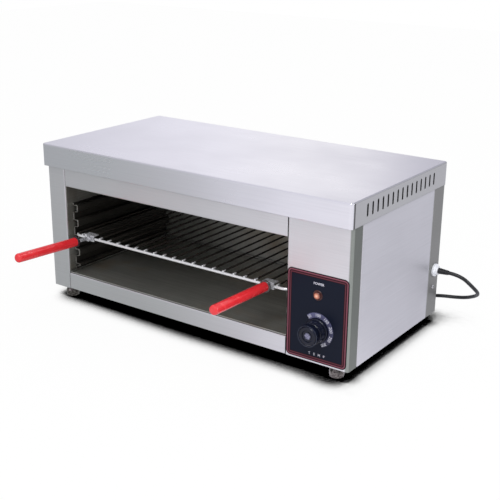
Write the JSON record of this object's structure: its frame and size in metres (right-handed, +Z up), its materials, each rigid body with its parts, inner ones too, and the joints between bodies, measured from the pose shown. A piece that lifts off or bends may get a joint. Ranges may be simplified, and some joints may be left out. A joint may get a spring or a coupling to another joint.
{
  "type": "electric cheese melter",
  "caption": "Countertop electric cheese melter with an open front, a sliding wire rack with red handles, a crumb tray, a thermostat knob and a coiled mains cord.",
  "frame": {"origin": "on the worktop, under the middle of the outline without the mains cord", "axes": "+X to the right seen from the front, +Y to the rear, +Z up"},
  "size_m": [0.9014, 0.7405, 0.366],
  "materials": {
    "stainless_shell": "fine brushed stainless steel, satin",
    "stainless_front": "brushed stainless steel, darker front trim",
    "cavity_steel": "dull stainless steel with heat tint",
    "tray_steel": "thin stainless sheet, satin",
    "rack_wire": "plated wire",
    "element_tube": "dark sheathed heating element",
    "fitting_steel": "plain plated fittings",
    "mineral_wool": "mineral wool slab",
    "overlay_film": "dark printed panel film with a maroon border",
    "scale_film": "silver lilac scale with plain numbers",
    "knob_plastic": "near black moulded knob",
    "knob_cap": "bright turned insert",
    "lamp_lens": "orange translucent lens",
    "lamp_plastic": "lamp ring and housing",
    "ceramic": "glazed ceramic insulators and block",
    "red_handle": "glossy red moulded sleeve",
    "dark_collar": "dark moulded collar",
    "foot_metal": "turned metal foot",
    "gland_plastic": "white moulded gland",
    "cord_rubber": "dark grey rubber sheath",
    "plug_plastic": "moulded plug",
    "pin_brass": "plated plug pins",
    "copper": "copper capillary and bulb",
    "wire_insulation": "heat-proof sleeved leads",
    "nylon": "cord tie"
  },
  "bodies": {
    "chassis": {"top_hood": "stainless_shell", "left_side_cover": "stainless_shell", "right_side_cover": "stainless_shell", "rear_panel": "stainless_shell", "base_panel": "stainless_shell", "left_front_post": "stainless_front", "control_box_front": "stainless_front", "front_lintel": "stainless_front", "front_sill": "stainless_front", "left_inner_wall": "cavity_steel", "right_inner_wall": "cavity_steel", "cavity_rear_wall": "cavity_steel", "cavity_floor": "cavity_steel", "heat_reflector": "cavity_steel", "left_rack_guide": "cavity_steel", "right_rack_guide": "cavity_steel", "element_hangers": "cavity_steel", "bulb_clips": "cavity_steel", "heating_elements": "element_tube", "element_ferrules": "fitting_steel", "case_screws": "fitting_steel", "foot_nuts": "fitting_steel", "thermostat_screws": "fitting_steel", "thermostat_body": "fitting_steel", "roof_insulation": "mineral_wool", "wall_insulation": "mineral_wool", "control_overlay": "overlay_film", "dial_scale": "scale_film", "pilot_lamp_lens": "lamp_lens", "pilot_lamp_bezel": "lamp_plastic", "pilot_lamp_body": "lamp_plastic", "element_terminals": "ceramic", "terminal_block": "ceramic", "cable_gland": "gland_plastic", "gland_locknut": "gland_plastic", "cord_strain_relief": "cord_rubber", "cord_lead": "cord_rubber", "cord_coil": "cord_rubber", "supply_tail": "cord_rubber", "plug_body": "plug_plastic", "plug_pins": "pin_brass", "thermostat_bulb": "copper", "capillary_tube": "copper", "internal_leads": "wire_insulation", "cord_tie": "nylon"},
    "rack": {"rack_frame": "rack_wire", "rack_wires": "rack_wire", "handle_brackets": "fitting_steel", "handle_nuts": "fitting_steel", "handle_rods": "rack_wire", "handle_collars": "dark_collar", "handle_sleeves": "red_handle"},
    "crumb_tray": {"crumb_tray": "tray_steel"},
    "knob": {"thermostat_knob": "knob_plastic", "knob_centre": "knob_cap", "thermostat_shaft": "fitting_steel"},
    "front_left_foot": {"front_left_foot": "foot_metal"},
    "front_right_foot": {"front_right_foot": "foot_metal"},
    "rear_left_foot": {"rear_left_foot": "foot_metal"},
    "rear_right_foot": {"rear_right_foot": "foot_metal"}
  },
  "joints": [
    {"name": "rack_slide", "type": "slide", "parent": "chassis", "child": "rack", "axis": [0, -1, 0], "range_m": [0, 0.25]},
    {"name": "crumb_tray_slide", "type": "slide", "parent": "chassis", "child": "crumb_tray", "axis": [0, -1, 0], "range_m": [0, 0.3]},
    {"name": "knob_turn", "type": "hinge", "parent": "chassis", "child": "knob", "pos_m": [0.32805, -0.09424, 0.0955], "axis": [0, 1, 0], "range_deg": [0, 200]},
    {"name": "front_left_foot_screw", "type": "slide", "parent": "chassis", "child": "front_left_foot", "axis": [0, 0, -1], "range_m": [0, 0.01]},
    {"name": "front_right_foot_screw", "type": "slide", "parent": "chassis", "child": "front_right_foot", "axis": [0, 0, -1], "range_m": [0, 0.01]},
    {"name": "rear_left_foot_screw", "type": "slide", "parent": "chassis", "child": "rear_left_foot", "axis": [0, 0, -1], "range_m": [0, 0.01]},
    {"name": "rear_right_foot_screw", "type": "slide", "parent": "chassis", "child": "rear_right_foot", "axis": [0, 0, -1], "range_m": [0, 0.01]}
  ]
}
